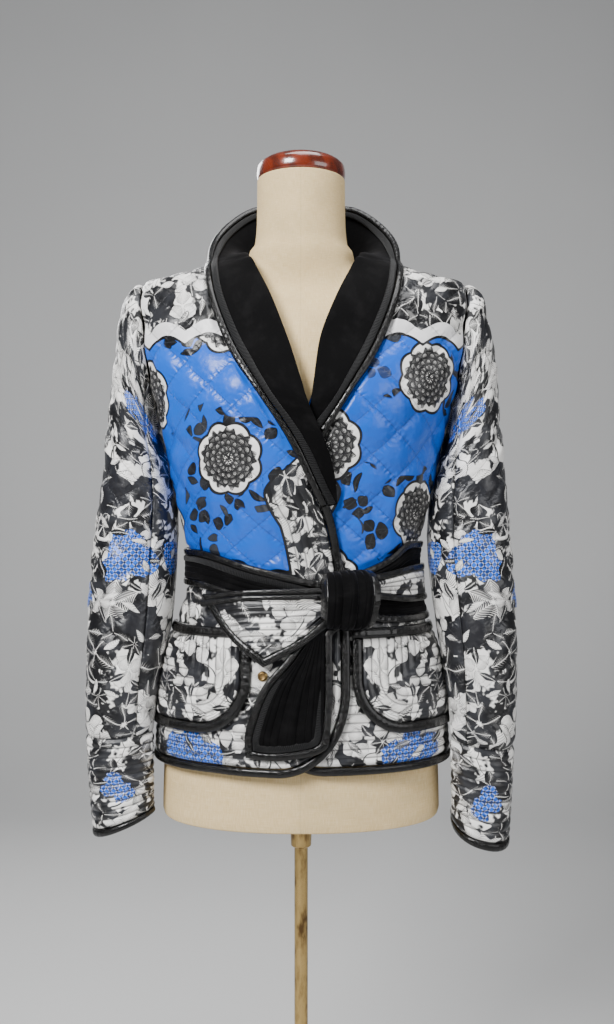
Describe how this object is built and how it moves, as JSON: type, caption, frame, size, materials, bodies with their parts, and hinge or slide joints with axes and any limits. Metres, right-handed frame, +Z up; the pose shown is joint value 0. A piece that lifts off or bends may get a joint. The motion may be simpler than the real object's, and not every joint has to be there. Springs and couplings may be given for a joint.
{
  "type": "quilted jacket on dress form",
  "caption": "Quilted satin wrap jacket with velvet shawl collar, patch pockets and a tied belt, worn by a linen-covered dress form on a round foot.",
  "frame": {"origin": "on the floor at the axis of the form's pole, in the middle of the underside of its foot", "axes": "+Z up along the pole, the jacket's front faces -Y, the wearer's left is at +X"},
  "size_m": [0.5023, 0.36, 1.4215],
  "materials": {
    "printed_satin": "printed blue, white and black satin, quilted",
    "black_velvet": "black velvet with a soft sheen",
    "black_leather": "semi-gloss black",
    "black_gimp": "ribbed black braid",
    "linen": "fine woven linen",
    "turned_wood": "glossy red-brown varnish",
    "brass": "aged brass",
    "painted_iron": "plain black"
  },
  "bodies": {
    "root": {"back": "printed_satin", "back_binding": "black_leather", "belt_back": "black_velvet", "belt_back_edge_low": "black_leather", "belt_back_edge_top": "black_leather", "belt_print_left": "printed_satin", "belt_print_left_edge_low": "black_leather", "belt_print_left_edge_top": "black_leather", "belt_velvet_left": "black_velvet", "belt_velvet_left_edge_low": "black_leather", "belt_velvet_left_edge_top": "black_leather", "belt_velvet_right": "black_velvet", "belt_velvet_right_edge_low": "black_leather", "belt_velvet_right_edge_top": "black_leather", "belt_velvet_right_gimp": "black_gimp", "collar_binding_left": "black_leather", "collar_binding_right": "black_leather", "collar_left": "black_velvet", "collar_right": "black_velvet", "collar_trim_left": "black_gimp", "collar_trim_right": "black_gimp", "cuff_binding_left": "black_leather", "cuff_binding_right": "black_leather", "cuff_left": "printed_satin", "cuff_right": "printed_satin", "form_base": "painted_iron", "form_neck_cap": "turned_wood", "form_pole": "brass", "form_socket": "brass", "form_torso": "linen", "front_binding_left": "black_leather", "front_binding_right": "black_leather", "front_left": "printed_satin", "front_right": "printed_satin", "knot": "black_velvet", "pocket_edge_band_left": "black_leather", "pocket_edge_band_right": "black_leather", "pocket_left": "printed_satin", "pocket_right": "printed_satin", "pocket_top_band_left": "black_leather", "pocket_top_band_right": "black_leather", "sleeve_under_left": "printed_satin", "sleeve_under_right": "printed_satin", "sleeve_upper_left": "printed_satin", "sleeve_upper_right": "printed_satin", "snap": "brass", "tail": "black_velvet", "tail_edge": "black_leather", "tail_gimp": "black_gimp", "tie_end": "printed_satin", "tie_end_edge": "black_leather"}
  },
  "joints": []
}
